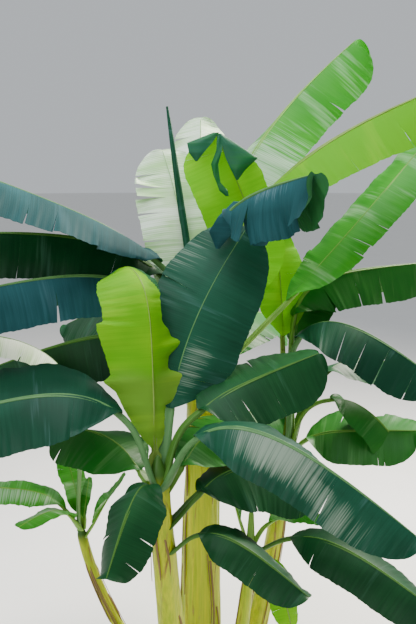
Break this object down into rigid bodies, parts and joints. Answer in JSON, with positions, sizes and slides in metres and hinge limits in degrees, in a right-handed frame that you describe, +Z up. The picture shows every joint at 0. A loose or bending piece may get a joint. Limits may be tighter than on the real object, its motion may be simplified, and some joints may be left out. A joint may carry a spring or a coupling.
{
  "type": "banana plant",
  "caption": "Clump of banana stems with a thick main stem, younger shoots round its foot, long arching paddle leaves with torn edges and a rolled new leaf standing up.",
  "frame": {"origin": "middle of the flat cut under the main stem, at ground level", "axes": "+Z up, +Y towards the back of the clump, +X to its right seen from the front"},
  "size_m": [2.3477, 2.1072, 2.8323],
  "materials": {
    "stem": "smooth green sheaths with dry brown edges",
    "leaf": "waxy dark green",
    "young_leaf": "waxy yellow-green"
  },
  "bodies": {
    "root": {"stem_main": "stem", "stem_front": "stem", "stem_right": "stem", "stem_low": "stem", "stem_left": "stem", "leaf_main_left_top": "leaf", "leaf_main_left_middle": "leaf", "leaf_main_left_low": "leaf", "leaf_main_left_hanging": "leaf", "leaf_main_top_right": "leaf", "leaf_main_arching_right": "leaf", "leaf_main_folded_tip": "leaf", "leaf_main_drooping_front": "leaf", "leaf_main_back_left_upright": "leaf", "leaf_main_back_upright": "leaf", "leaf_main_right_straight": "leaf", "leaf_main_back_low": "leaf", "leaf_main_back_left_low": "leaf", "leaf_main_back_right_low": "leaf", "leaf_main_rolled": "leaf", "leaf_front_young": "young_leaf", "leaf_front_left": "leaf", "leaf_front_tall": "leaf", "leaf_front_right_long": "leaf", "leaf_front_right_middle": "leaf", "leaf_front_left_back": "leaf", "leaf_front_right_back": "leaf", "leaf_front_right_low": "leaf", "leaf_front_hanging": "leaf", "leaf_front_lowest": "leaf", "leaf_right_arching": "leaf", "leaf_right_young": "young_leaf", "leaf_right_back": "leaf", "leaf_right_level": "leaf", "leaf_right_low": "leaf", "leaf_right_far_right": "leaf", "leaf_right_back_hanging": "leaf", "leaf_low_front_right": "leaf", "leaf_low_small_right": "leaf", "leaf_low_small_hanging": "leaf", "leaf_low_upright_left": "leaf", "leaf_low_upright_back": "leaf", "leaf_left_level": "leaf", "leaf_left_front": "leaf", "leaf_left_upright_back": "leaf", "leaf_left_small_spear": "leaf", "leaf_left_tall": "leaf", "leaf_left_right_up": "leaf"}
  },
  "joints": []
}
